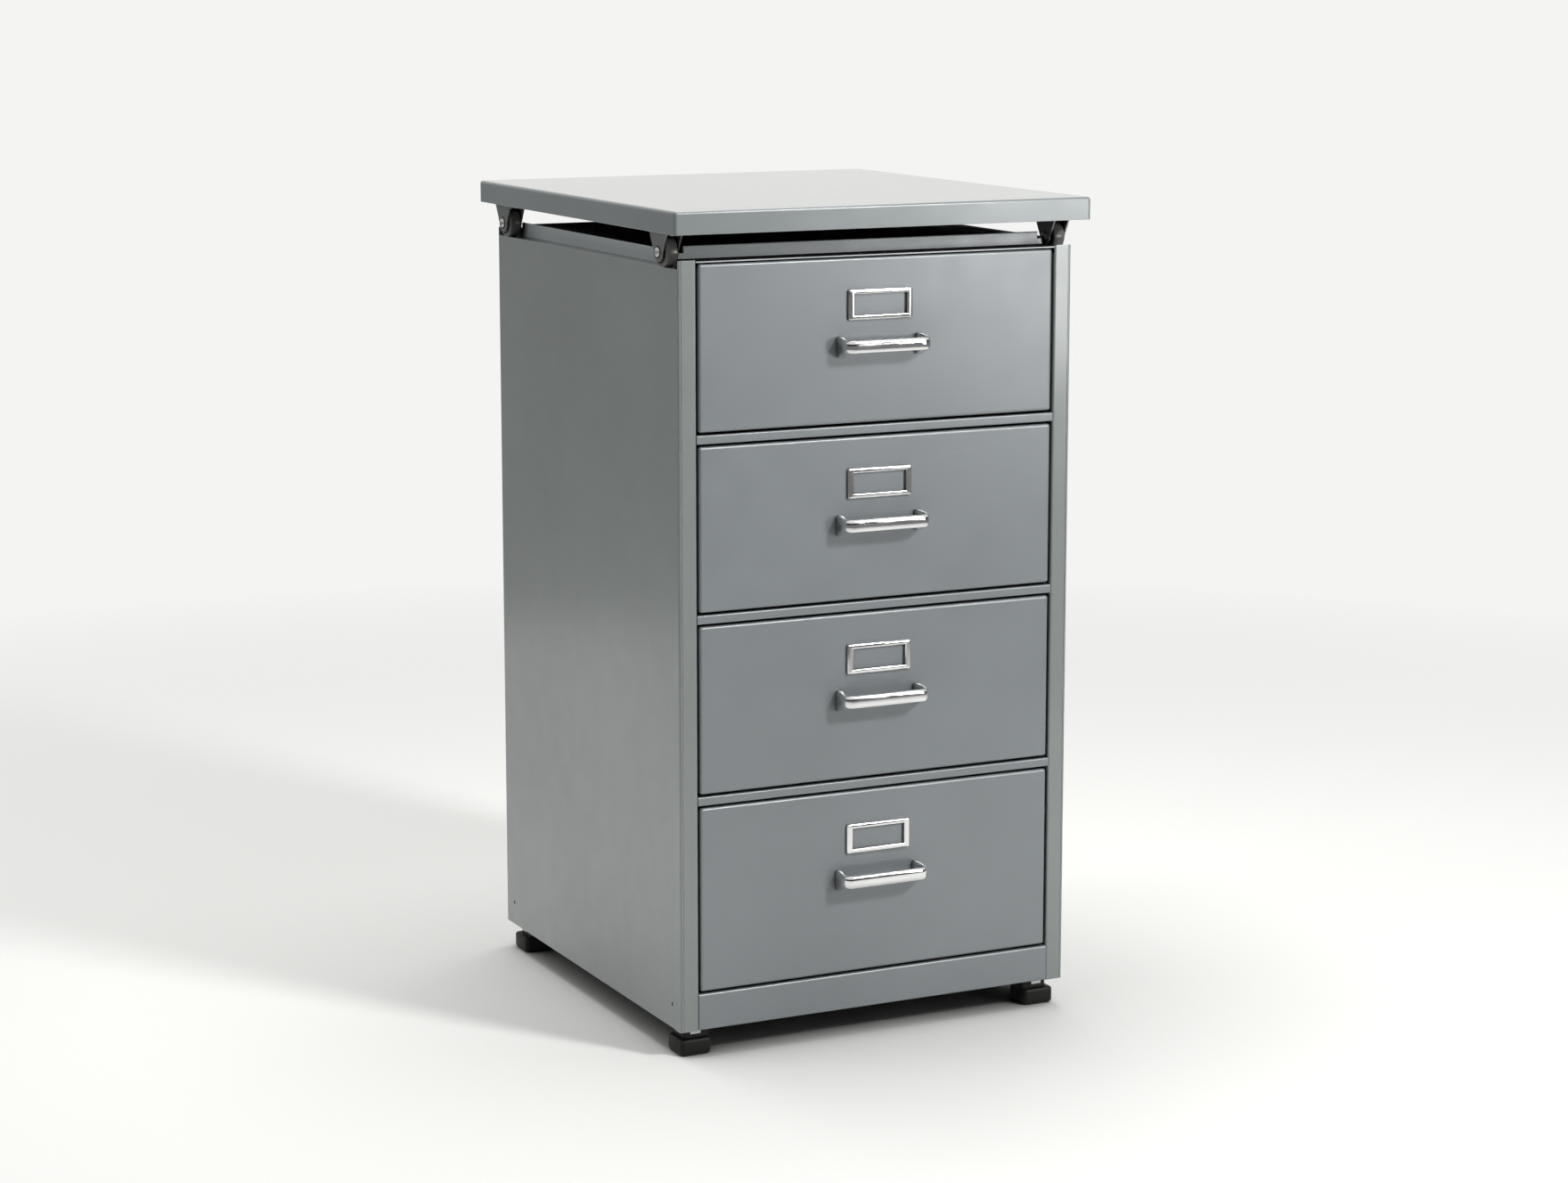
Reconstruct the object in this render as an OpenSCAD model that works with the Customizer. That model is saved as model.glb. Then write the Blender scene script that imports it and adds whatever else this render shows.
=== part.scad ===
// Small steel drawer cabinet with four drawers and a loose top on castors.
// Origin on the floor at the middle of the cabinet, front towards -Y, +Z up, millimetres.

/* [Cabinet] */
// Width of the cabinet over its side panels
cab_w = 430; // [380:1:520]
// Depth of the cabinet from drawer face to back
cab_d = 458; // [420:1:560]
// Thickness of the painted body sheet
sheet = 1.2; // [0.8:0.1:1.6]
// Width of the stile folded on each front edge
stile_w = 19; // [17:0.5:26]
// Depth of the lip folded back from the stile
stile_lip = 21.5; // [20:0.5:24]
// Distance of the seam in the stile from the cabinet's edge
stile_seam = 3; // [2.6:0.1:6]
// Outer radius of the folded body edges
fold_r = 2; // [1.7:0.1:3]
// Depth of the fold along the top of the back sheet
back_fold_d = 12; // [6:0.5:24]
// Radius of the small holes low in the side panels
side_hole_r = 2; // [1:0.25:4]
// Height of the small holes over the side panel's lower edge
side_hole_up = 24; // [14:1:60]
// Distance of the small holes from the middle of a foot, towards front or back
side_hole_out = 5; // [0:0.5:10]
// Height of the base rail under the bottom drawer
base_h = 36.5; // [24:0.5:60]
// Height of each narrow rail between two drawers
rail_h = 8.7; // [6:0.1:14]
// Edge radius of the rails between the drawers
rail_r = 1.3; // [1.2:0.1:2.5]
// Depth of the base rail
base_d = 20; // [14:0.5:20]
// Height of each lip folded behind the base rail
base_lip = 8; // [4:0.5:11]
// Depth of the rails between the drawers
rail_d = 16; // [10:0.5:30]
// Butt gap at the ends of the rails
seam = 0.2; // [0.1:0.05:0.3]

/* [Cap] */
// Gap between the top drawer and the cap
cap_gap = 1.4; // [1:0.1:3]
// Height of the cap's front ledge over the ledges that the castors stand on
ledge_rise = 7; // [4:0.1:10]
// Height of the stile's top over the cap's front ledge
stile_rise = 1.2; // [0.4:0.1:3]
// Width of the ledge along each side
side_ledge = 14.5; // [14.5:0.5:20]
// Width of the ledge along the front and the back of the cap
end_ledge = 32; // [20:1:50]
// Height of the raised middle of the cap over its front ledge
dais_h = 5.6; // [3:0.1:12]
// Height of the rims along the sides of the raised middle
side_rim_h = 2.1; // [1:0.1:4]
// Height of the upstand along the front of the raised middle
hem_h = 7; // [3:0.5:10]
// Distance of the upstand's ends from the raised middle's sides
hem_inset = 6; // [3:0.5:12]

/* [Drawers] */
// Height of the two upper drawer fronts
upper_front_h = 161; // [130:0.5:200]
// Height of the third drawer front
lower_front_h = 165.5; // [130:0.5:200]
// Height of the bottom drawer front
bottom_front_h = 184; // [140:0.5:240]
// Gap all round each drawer front
front_gap = 2.5; // [1.5:0.1:4]
// Depth of the pressed drawer front
front_d = 18; // [14:0.5:26]
// Edge radius of the pressed drawer front
front_r = 2.6; // [1.5:0.1:4]
// Width of the flange turned in behind the drawer front
front_flange = 24; // [24:0.5:30]
// Sheet of the drawer fronts and drawer boxes
drawer_sheet = 1; // [0.8:0.1:1.4]
// Space for the runners on each side of a drawer box
runner_space = 13; // [11:0.5:18]
// Height that the box stays below its front's top edge
box_drop = 20; // [14:1:23]
// Height of the box bottom over its front's bottom edge
box_lift = 12; // [8:1:20]
// Clear space behind the closed drawer box
box_back_gap = 22; // [10:1:60]
// Inward lip round the top of the drawer box
box_lip = 6; // [3:0.5:12]

/* [Runners] */
// Height of the runner channel in the cabinet
runner_h = 26; // [20:0.5:36]
// Sheet of the runner channels
runner_sheet = 1.2; // [0.9:0.1:1.6]
// Distance of a runner's front end behind the closed drawer front
runner_start = 1.5; // [1:0.5:6]
// Free space between a runner channel and the side of the drawer box
runner_clear = 2.5; // [2:0.1:4]
// Free space between the web of a runner channel and the channel in it
slide_clear = 1.8; // [1.2:0.1:3]
// Height of the runner over the bottom of the box
runner_lift = 30; // [16:1:60]
// Free space between a runner channel and the channel in it, above and below
runner_play = 1.5; // [1:0.1:2.5]
// Length of a nylon glide
glide_len = 28; // [16:1:50]
// Width of a nylon glide
glide_w = 5.5; // [3:0.5:6]
// Clearance between glide and channel
glide_gap = 0.2; // [0.15:0.05:0.4]

/* [Handle] */
// Width of the handle over its feet
handle_w = 102; // [80:1:140]
// Reach of the handle in front of the drawer
handle_reach = 25; // [20:0.5:40]
// How far the ends of the bar stay inside the handle's feet
bar_inset = 5.5; // [3:0.5:8]
// Height of the handle's bar
bar_h = 12.7; // [8:0.1:18]
// Thickness of the handle's bar
bar_t = 5.5; // [4:0.5:8]
// Edge radius of the handle's bar
bar_r = 2; // [1:0.25:2.5]
// Thickness of the handle's legs where they leave the bar
leg_t = 6.5; // [5.5:0.5:9]
// Outer radius of the handle's corners
handle_r = 8; // [7.5:0.5:12]
// Height of each foot of the handle
foot_pad_h = 21; // [16:0.5:30]
// Width of each foot of the handle
foot_pad_w = 11; // [9:0.5:14]
// Thickness of a handle foot's upper and lower edge
foot_pad_t = 1.6; // [1:0.1:3]
// Corner radius of a handle foot
foot_pad_r = 3; // [1:0.5:4]
// Distance of the handle's middle below the front's top edge
handle_down = 86; // [76:1:96]
// How much lower handle and label holder sit on the bottom drawer
bottom_down = 2.5; // [0:0.5:20]
// Radius of the handle screws
handle_screw_r = 2; // [1.5:0.25:2.25]
// Length of a handle screw in the handle's foot
handle_screw_in = 4.5; // [3:0.5:6]

/* [Label holder] */
// Width of the label holder
label_w = 70; // [66:0.5:90]
// Height of the label holder
label_h = 30; // [27:0.5:40]
// Thickness of the label holder
label_t = 3.6; // [2.6:0.1:4.5]
// Corner radius of the label holder
label_r = 1.4; // [0.5:0.1:3]
// Width of the sloped edge round the label holder
label_slope = 1.4; // [0.6:0.1:2.2]
// Width of the window in the label holder
window_w = 59; // [40:0.5:60]
// Height of the window in the label holder
window_h = 20.4; // [14:0.2:21]
// How far the slot for the card reaches beyond the window
slot_reach = 2; // [1:0.25:2.5]
// Thickness of the slot for the card
slot_t = 1; // [0.6:0.1:1.2]
// Radius of the rivets that hold the label holder
rivet_r = 1.2; // [0.8:0.1:1.3]
// Distance of the holder's middle below the front's top edge
label_down = 45.5; // [30:0.5:60]

/* [Feet] */
// Height of the moulded block of a foot
foot_block_h = 17; // [12:0.5:30]
// Width of the moulded block of a foot
foot_block_w = 33; // [26:0.5:45]
// Height of the neck of a foot
foot_neck_h = 10; // [6:0.5:20]
// How far the neck stays inside the block's two outer sides
foot_rebate = 6; // [3:0.5:9]
// Corner radius of the neck of a foot
foot_neck_r = 2; // [1:0.5:4]
// Edge radius of a foot
foot_r = 3; // [1:0.5:5]
// Distance of a foot from the cabinet's side
foot_inset_x = 4.2; // [2:0.2:12]
// Distance of a foot from the cabinet's front or back
foot_inset_y = 10; // [4:0.5:20]
// Thickness of the zinc plate over a foot
foot_plate_t = 1.5; // [1:0.1:2.5]
// How far the zinc plate stays inside the neck's two inner sides
foot_plate_in = 2; // [1:0.5:4]
// Width of each tab of the zinc plate
foot_tab_w = 11; // [7:0.5:15]
// Length of each tab down the neck of a foot
foot_tab_h = 6; // [3:0.5:9]
// Distance of a tab from the neck's outer corner
foot_tab_off = 6; // [4:0.5:8]
// Radius of a foot's screw
foot_screw_r = 3; // [2:0.25:4]
// Depth of a foot's screw hole in the moulded block
foot_screw_in = 6; // [4:0.5:11]

/* [Top] */
// Overhang of the top over each side of the cabinet
top_over_x = 11.5; // [10.5:0.5:30]
// Overhang of the top over the drawer faces
top_over_front = 18; // [14:0.5:22]
// Overhang of the top over the back
top_over_back = 22.4; // [16:0.2:25]
// Height of the folded rim of the top
top_h = 22.4; // [16:0.2:40]
// Sheet of the top
top_sheet = 1.5; // [1:0.1:2]
// Edge radius of the top
top_r = 3; // [2:0.5:6]
// Width of the flange folded under the top
top_flange = 46; // [40:1:70]

/* [Castors] */
// Distance of a castor's axle from the top's front or back edge
castor_inset = 50.6; // [50:0.2:56]
// Radius of a castor wheel
wheel_r = 14.6; // [12:0.1:16]
// Width of a castor wheel
wheel_w = 12; // [8:0.5:13]
// Distance of the wheel's outer face outside the cabinet's side
wheel_out = 3; // [1:0.5:4]
// Gap between wheel and fork on each side
wheel_gap = 1.2; // [0.6:0.1:1.5]
// Sheet of the fork
fork_sheet = 1.6; // [1.2:0.1:2.2]
// Height of the fork over the axle
fork_rise = 19.2; // [18:0.2:26]
// Length of the fork under the top
fork_len = 40; // [34:0.5:44]
// Radius of the fork's round end
fork_end_r = 9.5; // [7:0.5:11]
// Distance of a fork's screws before and behind its axle
fork_screw_off = 12; // [10.5:0.5:13.5]
// Radius of the screws that hold a fork
fork_screw_r = 2; // [1.5:0.1:2.5]
// Radius of a castor's axle bolt
axle_r = 3; // [2:0.25:3.5]
// Height of the head and of the nut of an axle bolt
axle_head_t = 1.6; // [1:0.1:2.5]
// Radial width of the tread ring on a castor wheel
tread_w = 3; // [2:0.1:4]
// Edge bevel of the tread
tread_edge = 0.8; // [0.3:0.1:1.5]
// Radial thickness of a wheel's hub
hub_t = 2.4; // [1.5:0.1:3]
// How far a wheel's web is sunk between hub and tread
web_sink = 1.6; // [0.6:0.1:2.5]
// Running clearance of a wheel on its axle
axle_fit = 0.05; // [0.02:0.01:0.1]
// Gap between a wheel and what it stands on
wheel_seat = 0.1; // [0.05:0.05:0.3]

/* [Hidden] */
$fn = 48;
eps = 0.02;
// How far a cutting body stands out of what it cuts
cut = 1;
// Free space round a screw in its hole
hole_fit = 0.2;
// Free space round a bolt or screw that sits tight
tight_fit = 0.02;

paint = [0.55, 0.57, 0.58];
paint_dark = [0.47, 0.50, 0.50];
chrome = [0.85, 0.86, 0.87];
zinc = [0.68, 0.69, 0.70];
black = [0.10, 0.10, 0.10];
nylon = [0.90, 0.89, 0.84];

// Levels, from the floor up
base_z = foot_block_h + foot_neck_h + foot_plate_t;
step = 2 * front_gap + rail_h;
front_hs = [upper_front_h, upper_front_h, lower_front_h, bottom_front_h];
front_4_z = base_z + base_h + front_gap;
front_3_z = front_4_z + bottom_front_h + step;
front_2_z = front_3_z + lower_front_h + step;
front_1_z = front_2_z + upper_front_h + step;
front_zs = [front_1_z, front_2_z, front_3_z, front_4_z];
ledge_z = front_1_z + upper_front_h + cap_gap + sheet;
stile_top = ledge_z + stile_rise;
floor_z = ledge_z - ledge_rise;
dais_z = ledge_z + dais_h;
axle_z = floor_z + wheel_seat + wheel_r;
top_z = axle_z + fork_rise;

// Places in plan
shift_y = (max(handle_reach, top_over_front) - top_over_back) / 2;
half_w = cab_w / 2;
half_d = cab_d / 2;
open_x = half_w - stile_w;
box_x = open_x - runner_space;
dais_x = half_w - side_ledge;
dais_y = half_d - end_ledge;
top_x = half_w + top_over_x;
top_front = -half_d - top_over_front;
top_back = half_d + top_over_back;
castor_ys = [top_front + castor_inset, top_back - castor_inset];
wheel_x = half_w + wheel_out - wheel_w / 2;
fork_x = wheel_w / 2 + wheel_gap + fork_sheet;
foot_x = half_w - foot_inset_x - foot_block_w / 2;
foot_y = half_d - foot_inset_y - foot_block_w / 2;
front_w = 2 * (open_x - front_gap);
box_front = -half_d + front_d;
box_back = half_d - sheet - drawer_sheet - box_back_gap;
runner_front = box_front + runner_start;
runner_back = half_d - 2 * sheet;
handle_screw_x = (handle_w - foot_pad_w) / 2;
rivet_x = (label_w + window_w) / 4;
rivet_fit = 0.05;
slide_h = runner_h - 2 * runner_sheet - 2 * runner_play;
glide_t = runner_play - glide_gap;
glide_x = open_x - runner_sheet - slide_clear - glide_w;

function fittings_z(n) = front_zs[n - 1] + front_hs[n - 1] - (n == 4 ? bottom_down : 0);
function bar_mid(n) = fittings_z(n) - handle_down;
function label_mid(n) = fittings_z(n) - label_down;
function runner_z(n) = front_zs[n - 1] + box_lift + runner_lift;

// Brings the middle of the whole outline, with handles and top, over the origin
module placed() {
    translate([0, shift_y, 0]) children();
}

// A rectangle round the origin with round corners
module round_rect(w, d, r) {
    square([w - 2 * r, d], center = true);
    square([w, d - 2 * r], center = true);
    for (sx = [-1, 1], sy = [-1, 1])
        translate([sx * (w / 2 - r), sy * (d / 2 - r)]) circle(r);
}

// A block with its foot on z = 0, round corners in plan and a round edge at the top
module soft_block(w, d, h, r) {
    linear_extrude(h - r) round_rect(w, d, r);
    linear_extrude(h) square([w - 2 * r, d - 2 * r], center = true);
    for (sx = [-1, 1]) translate([sx * (w / 2 - r), 0, h - r])
        rotate([90, 0, 0]) cylinder(r = r, h = d - 2 * r, center = true);
    for (sy = [-1, 1]) translate([0, sy * (d / 2 - r), h - r])
        rotate([0, 90, 0]) cylinder(r = r, h = w - 2 * r, center = true);
    for (sx = [-1, 1], sy = [-1, 1])
        translate([sx * (w / 2 - r), sy * (d / 2 - r), h - r]) sphere(r);
}

// The children at x and mirrored to -x
module both_sides() {
    children();
    mirror([1, 0, 0]) children();
}

// The children at each castor, with mirrored left and right
module at_castors() {
    for (y = castor_ys) both_sides() translate([wheel_x, y, 0]) children();
}

// The children over each foot, with x and y pointing out of the cabinet
module at_feet() {
    for (sx = [0, 1], sy = [0, 1]) mirror([sx, 0, 0]) mirror([0, sy, 0])
        translate([foot_x, foot_y, 0]) children();
}

// ---------- body ----------

// Plan of the right side panel: side wall, rear flange, and stile with a lip and a seam
module side_plan() {
    translate([half_w - stile_w / 2, 0]) difference() {
        round_rect(stile_w, cab_d, fold_r);
        round_rect(stile_w - 2 * sheet, cab_d - 2 * sheet, fold_r - sheet);
        translate([-stile_w / 2, stile_lip])
            square([2 * fold_r, cab_d], center = true);
        translate([stile_w / 2 - stile_seam, -cab_d / 2])
            square([0.5, sheet], center = true);
    }
}

// Right side panel; the left one is its mirror image
module side_panel_form() {
    hole_y = foot_y + side_hole_out;
    hole_z = base_z + side_hole_up;
    difference() {
        union() {
            translate([0, 0, base_z]) linear_extrude(floor_z - base_z) side_plan();
            // the stile and the rear flange stand higher than the side wall
            translate([0, 0, base_z]) linear_extrude(stile_top - base_z) intersection() {
                side_plan();
                for (s = [-1, 1]) translate([half_w - stile_w / 2, s * half_d])
                    square([2 * stile_w, 2 * sheet], center = true);
            }
            // top flange, which the castors stand on, and bottom flange
            for (z = [base_z, floor_z - sheet])
                translate([half_w - side_ledge - sheet, -half_d + sheet - eps, z])
                    cube([side_ledge + eps, cab_d - 2 * sheet + 2 * eps, sheet]);
        }
        // small round holes near the feet
        for (s = [-1, 1]) translate([half_w, s * hole_y, hole_z])
            rotate([0, 90, 0]) cylinder(r = side_hole_r, h = 4 * sheet, center = true);
    }
}

module left_side_panel() {
    color(paint_dark) placed() mirror([1, 0, 0]) side_panel_form();
}

module right_side_panel() {
    color(paint_dark) placed() side_panel_form();
}

// Flat back sheet against the rear flanges, with a fold under the cap's rear ledge
module back_panel() {
    w = 2 * (half_w - fold_r - seam);
    fold_w = 2 * (dais_x - sheet - seam);
    y = half_d - 2 * sheet;
    z0 = base_z + 2 * sheet + seam;
    z1 = ledge_z - sheet - seam;
    color(paint_dark) placed() {
        translate([-w / 2, y, z0]) cube([w, sheet, floor_z - sheet - seam - z0]);
        translate([-fold_w / 2, y, z0]) cube([fold_w, sheet, z1 - z0]);
        translate([-fold_w / 2, y + sheet - back_fold_d, z1 - sheet])
            cube([fold_w, back_fold_d, sheet]);
    }
}

// Form of the cap, grown inward by inset: front and rear ledge and raised middle
module cap_form(inset) {
    translate([0, 0, floor_z]) {
        linear_extrude(ledge_rise - inset)
            square([2 * (dais_x - inset), cab_d - 2 * inset], center = true);
        linear_extrude(ledge_rise + dais_h - inset)
            square([2 * (dais_x - inset), 2 * (dais_y - inset)], center = true);
    }
}

module cap_panel() {
    hem_w = 2 * (dais_x - hem_inset);
    color(paint) placed() {
        difference() {
            cap_form(0);
            translate([0, 0, -eps]) cap_form(sheet);
            // no wall under the outer edges of the front and the rear ledge
            cube([2 * (dais_x - sheet), 2 * cab_d, 2 * (ledge_z - sheet)], center = true);
            // corners cut out round the stiles and the rear flanges
            for (sx = [-1, 1], sy = [-1, 1])
                translate([sx * half_w, sy * half_d, ledge_z])
                    cube([2 * (stile_w + seam), 2 * (sheet + seam), 4 * ledge_rise], center = true);
        }
        // rims along the sides of the raised middle
        both_sides() translate([dais_x - sheet, -dais_y, dais_z - eps])
            cube([sheet, 2 * dais_y, side_rim_h + eps]);
        // hemmed upstand along its front
        translate([-hem_w / 2, -dais_y, dais_z - eps])
            cube([hem_w, 2 * sheet, hem_h - sheet + eps]);
        translate([0, -dais_y + sheet, dais_z + hem_h - sheet])
            rotate([0, 90, 0]) cylinder(r = sheet, h = hem_w, center = true);
    }
}

// A rail between two drawers: a channel with its open side to the back
module front_rail(n) {
    z = front_zs[n - 1] - front_gap - rail_h;
    w = 2 * (open_x - seam);
    color(paint) placed() translate([0, -half_d + rail_d / 2, z]) difference() {
        translate([0, 0, rail_h / 2]) rotate([0, 90, 0])
            linear_extrude(w, center = true) round_rect(rail_h, rail_d, rail_r);
        translate([0, 0, rail_h / 2]) rotate([0, 90, 0])
            linear_extrude(w + 2 * cut, center = true)
                translate([0, sheet]) square([rail_h - 2 * sheet, rail_d], center = true);
    }
}

// The base rail closes the front below the bottom drawer
module base_rail() {
    w = 2 * (open_x - seam);
    color(paint) placed() translate([0, -half_d + base_d / 2, base_z + base_h / 2])
        rotate([0, 90, 0]) linear_extrude(w, center = true) difference() {
            round_rect(base_h, base_d, fold_r);
            round_rect(base_h - 2 * sheet, base_d - 2 * sheet, fold_r - sheet);
            translate([0, base_d / 2])
                square([base_h - 2 * base_lip, 4 * sheet], center = true);
        }
}

// Flat sheet that closes the underside, on the bottom flanges of the side panels
module bottom_pan() {
    w = 2 * (half_w - sheet - seam);
    y0 = -half_d + stile_lip + seam;
    y1 = half_d - 2 * sheet - seam;
    z = base_z + sheet;
    color(paint_dark) placed() difference() {
        union() {
            translate([-w / 2, y0, z]) cube([w, y1 - y0, sheet]);
            // front edge between the lips of the stiles, up to the base rail
            translate([-open_x + seam, -half_d + base_d + seam, z])
                cube([2 * (open_x - seam), stile_lip, sheet]);
        }
        at_feet() translate([0, 0, z - cut]) cylinder(r = foot_screw_r + hole_fit, h = 4 * sheet);
    }
}

// ---------- runners ----------

// The two channels in the cabinet that carry one drawer, open towards the drawer
module runner_pair(n) {
    len = runner_back - runner_front;
    depth = runner_space - runner_clear;
    color(zinc) placed() both_sides() translate([open_x - depth, runner_front, runner_z(n)])
        difference() {
            cube([depth, len, runner_h]);
            translate([-cut, -cut, runner_sheet])
                cube([depth - runner_sheet + cut, len + 2 * cut, runner_h - 2 * runner_sheet]);
        }
}

// Nylon pads at the front of the cabinet's runners, above and below the moving channel
module runner_glides() {
    y = runner_front + runner_start;
    color(nylon) placed() for (n = [1 : 4]) both_sides()
        for (dz = [runner_sheet, runner_h - runner_sheet - glide_t])
            translate([glide_x, y, runner_z(n) + dz]) cube([glide_w, glide_len, glide_t]);
}

// The two channels on a drawer box that run in the cabinet's runners
module slide_pair(n) {
    y0 = box_front + drawer_sheet;
    len = box_back - y0;
    depth = runner_space - runner_sheet - slide_clear;
    z = runner_z(n) + runner_sheet + runner_play;
    color(zinc) placed() both_sides() translate([box_x, y0, z]) difference() {
        cube([depth, len, slide_h]);
        translate([runner_sheet, -cut, runner_sheet])
            cube([depth, len + 2 * cut, slide_h - 2 * runner_sheet]);
    }
}

// Nylon blocks at the back end of a drawer's channels
module drawer_glides(n) {
    z = runner_z(n) + runner_sheet + runner_play;
    color(nylon) placed() both_sides() for (dz = [-glide_t, slide_h])
        translate([glide_x, box_back - glide_len, z + dz])
            cube([glide_w, glide_len, glide_t]);
}

// ---------- drawers ----------

// Pressed drawer front: a pan with round edges and a flange turned in all round its back
module drawer_front(n) {
    h = front_hs[n - 1];
    z = front_zs[n - 1] + h / 2;
    color(paint) placed() difference() {
        translate([0, box_front, z]) rotate([90, 0, 0])
            soft_block(front_w, h, front_d, front_r);
        translate([0, box_front - drawer_sheet, z]) rotate([90, 0, 0])
            linear_extrude(front_d - 2 * drawer_sheet)
                round_rect(front_w - 2 * drawer_sheet, h - 2 * drawer_sheet,
                    front_r - drawer_sheet);
        translate([0, box_front, z])
            cube([front_w - 2 * front_flange, 4 * drawer_sheet, h - 2 * front_flange],
                center = true);
        both_sides() translate([handle_screw_x, -half_d - cut, bar_mid(n)]) rotate([-90, 0, 0])
            cylinder(r = handle_screw_r + hole_fit, h = 4 * drawer_sheet);
        both_sides() translate([rivet_x, -half_d - cut, label_mid(n)])
            rotate([-90, 0, 0]) cylinder(r = rivet_r + rivet_fit, h = 4 * drawer_sheet);
    }
}

// Folded drawer box with an inward lip round its top
module drawer_box(n) {
    h = front_hs[n - 1] - box_drop - box_lift;
    len = box_back - box_front;
    color(paint) placed() translate([-box_x, box_front, front_zs[n - 1] + box_lift]) difference() {
        cube([2 * box_x, len, h]);
        translate([drawer_sheet, drawer_sheet, drawer_sheet])
            cube([2 * (box_x - drawer_sheet), len - 2 * drawer_sheet, h - 2 * drawer_sheet]);
        translate([box_lip, box_lip, h / 2]) cube([2 * (box_x - box_lip), len - 2 * box_lip, h]);
    }
}

// Half of a plan outline with a round front corner, whose side leans out to the point at y = 0
module bow_half(corner_x, front_y, r, foot_x) {
    cy = front_y + r;
    toward = atan2(-cy, foot_x - corner_x);
    t = toward - acos(r / norm([foot_x - corner_x, cy]));
    translate([corner_x, cy]) circle(r);
    translate([-cut, front_y]) square([corner_x + cut, -front_y]);
    polygon([[corner_x, cy], [corner_x + r * cos(t), cy + r * sin(t)],
        [foot_x, 0], [corner_x, 0]]);
}

// Bow handle: the bow seen from above, cut to its outline from the side and from the front
module handle_form() {
    corner_x = handle_w / 2 - bar_inset - handle_r;
    inner_r = 0.75 * handle_r;
    inner_x = corner_x + handle_r - leg_t - inner_r;
    flare_y = -handle_reach + 2 * bar_t;
    intersection() {
        linear_extrude(foot_pad_h, center = true) both_sides() difference() {
            bow_half(corner_x, -handle_reach, handle_r, handle_w / 2);
            bow_half(inner_x, -handle_reach + bar_t, inner_r, handle_w / 2 - foot_pad_w);
        }
        // side outline: bar with a curved front, legs that widen to the feet
        rotate([90, 0, 90]) linear_extrude(handle_w, center = true) {
            intersection() {
                translate([-handle_reach / 2, 0]) round_rect(handle_reach, bar_h, bar_r);
                translate([2 * bar_h - handle_reach, 0]) circle(2 * bar_h);
            }
            polygon([[flare_y, -bar_h / 2], [-foot_pad_t, -foot_pad_h / 2],
                [0, -foot_pad_h / 2], [0, foot_pad_h / 2], [-foot_pad_t, foot_pad_h / 2],
                [flare_y, bar_h / 2]]);
        }
        translate([0, -handle_reach / 2, 0]) rotate([90, 0, 0])
            linear_extrude(2 * handle_reach, center = true)
                round_rect(handle_w, foot_pad_h, foot_pad_r);
    }
}

module drawer_handle(n) {
    color(chrome) placed() translate([0, -half_d, bar_mid(n)]) difference() {
        handle_form();
        both_sides() translate([handle_screw_x, -1.5 * handle_screw_in, 0])
            rotate([-90, 0, 0]) cylinder(r = handle_screw_r, h = 2 * handle_screw_in);
    }
}

// The two screws that hold a handle from inside the drawer front
module handle_screws(n) {
    head_t = 1.1 * handle_screw_r;
    color(zinc) placed() both_sides()
        translate([handle_screw_x, -half_d + drawer_sheet, bar_mid(n)]) rotate([90, 0, 0]) {
            cylinder(r = handle_screw_r - tight_fit, h = handle_screw_in + drawer_sheet);
            translate([0, 0, -head_t]) cylinder(r = 2 * handle_screw_r, h = head_t);
        }
}

// Outline of the label holder cut across, w wide, with its front towards -y
module sloped_rim(w) {
    rim_h = label_t / 2;
    polygon([[-w / 2, 0], [-w / 2, -rim_h], [label_slope - w / 2, -label_t],
        [w / 2 - label_slope, -label_t], [w / 2, -rim_h], [w / 2, 0]]);
}

// Label holder like a small picture frame, with a slot for a card behind its window
module label_holder(n) {
    color(chrome) placed() translate([0, -half_d, label_mid(n)]) {
        difference() {
            intersection() {
                rotate([90, 0, 0]) linear_extrude(label_t) round_rect(label_w, label_h, label_r);
                linear_extrude(label_h, center = true) sloped_rim(label_w);
                rotate([0, 90, 0]) linear_extrude(label_w, center = true) sloped_rim(label_h);
            }
            cube([window_w, 4 * label_t, window_h], center = true);
            // slot for the card
            translate([-window_w / 2 - slot_reach, -slot_t, -window_h / 2 - slot_reach])
                cube([window_w + 2 * slot_reach, 2 * slot_t, window_h + 2 * slot_reach]);
        }
        both_sides() translate([rivet_x, 0, 0]) rotate([-90, 0, 0]) {
            translate([0, 0, -label_t / 2])
                cylinder(r = rivet_r, h = label_t / 2 + drawer_sheet + eps);
            translate([0, 0, drawer_sheet]) cylinder(r = 2 * rivet_r, h = 0.7 * rivet_r);
        }
    }
}

// ---------- feet ----------

// A moulded foot: block with round lower edges, neck set in from its two outer sides
module foot_form() {
    translate([0, 0, foot_block_h]) mirror([0, 0, 1])
        soft_block(foot_block_w, foot_block_w, foot_block_h, foot_r);
    neck_w = foot_block_w - foot_rebate;
    translate([-foot_rebate / 2, -foot_rebate / 2, foot_block_h - eps])
        linear_extrude(foot_neck_h + eps) round_rect(neck_w, neck_w, foot_neck_r);
}

module foot(sx, sy) {
    color(black) placed() scale([sx, sy, 1]) translate([foot_x, foot_y, 0]) difference() {
        foot_form();
        translate([0, 0, foot_block_h - foot_screw_in])
            cylinder(r = foot_screw_r, h = foot_screw_in + 2 * foot_neck_h);
    }
}

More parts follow.
